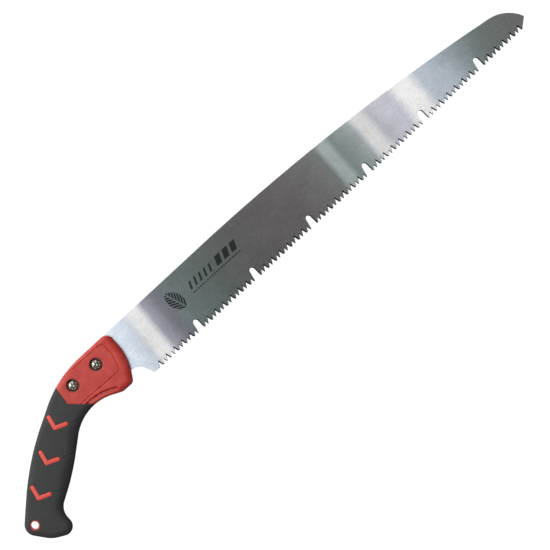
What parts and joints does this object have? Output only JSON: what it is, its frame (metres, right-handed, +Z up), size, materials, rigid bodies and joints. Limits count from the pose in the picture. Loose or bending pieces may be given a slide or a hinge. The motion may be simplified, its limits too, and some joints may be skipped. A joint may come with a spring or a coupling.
{
  "type": "japanese pull saw",
  "caption": "Long pull-stroke saw: a fine-toothed tapering blade with gullets, clamped by two screws in a curved pistol-grip handle with rubber grip and hang hole.",
  "frame": {"origin": "centre of the hang hole, at the middle of the handle's thickness", "axes": "+X along the blade to its tip, +Z up with the teeth facing down, Y across the thickness with the screw heads on the -Y side"},
  "size_m": [0.7215, 0.0286, 0.1259],
  "materials": {
    "blade_steel": "fine lengthwise grind, satin",
    "handle_red": "satin moulded plastic",
    "grip_rubber": "fine-textured soft rubber",
    "screw_steel": "bright nickel plate",
    "washer_steel": "zinc plate, satin",
    "nut_steel": "zinc plate, satin"
  },
  "bodies": {
    "handle": {"saw_blade": "blade_steel", "core_left": "handle_red", "core_right": "handle_red", "grip_sleeve": "grip_rubber", "front_nut": "nut_steel", "rear_nut": "nut_steel"},
    "front_washer": {"front_washer": "washer_steel"},
    "front_screw": {"front_screw": "screw_steel"},
    "rear_washer": {"rear_washer": "washer_steel"},
    "rear_screw": {"rear_screw": "screw_steel"}
  },
  "joints": [
    {"name": "front_travel", "type": "slide", "parent": "handle", "child": "front_washer", "axis": [0, -1, 0], "range_m": [0, 0.005]},
    {"name": "front_turn", "type": "hinge", "parent": "front_washer", "child": "front_screw", "pos_m": [0.1549, 0, 0.0784], "axis": [0, -1, 0], "range_deg": [0, 1800]},
    {"name": "rear_travel", "type": "slide", "parent": "handle", "child": "rear_washer", "axis": [0, -1, 0], "range_m": [0, 0.005]},
    {"name": "rear_turn", "type": "hinge", "parent": "rear_washer", "child": "rear_screw", "pos_m": [0.1234, 0, 0.0784], "axis": [0, -1, 0], "range_deg": [0, 1800]}
  ],
  "couplings": [
    {"joint": "front_turn", "follows": "front_travel", "rad_per_m": 6283.2},
    {"joint": "rear_turn", "follows": "rear_travel", "rad_per_m": 6283.2}
  ]
}
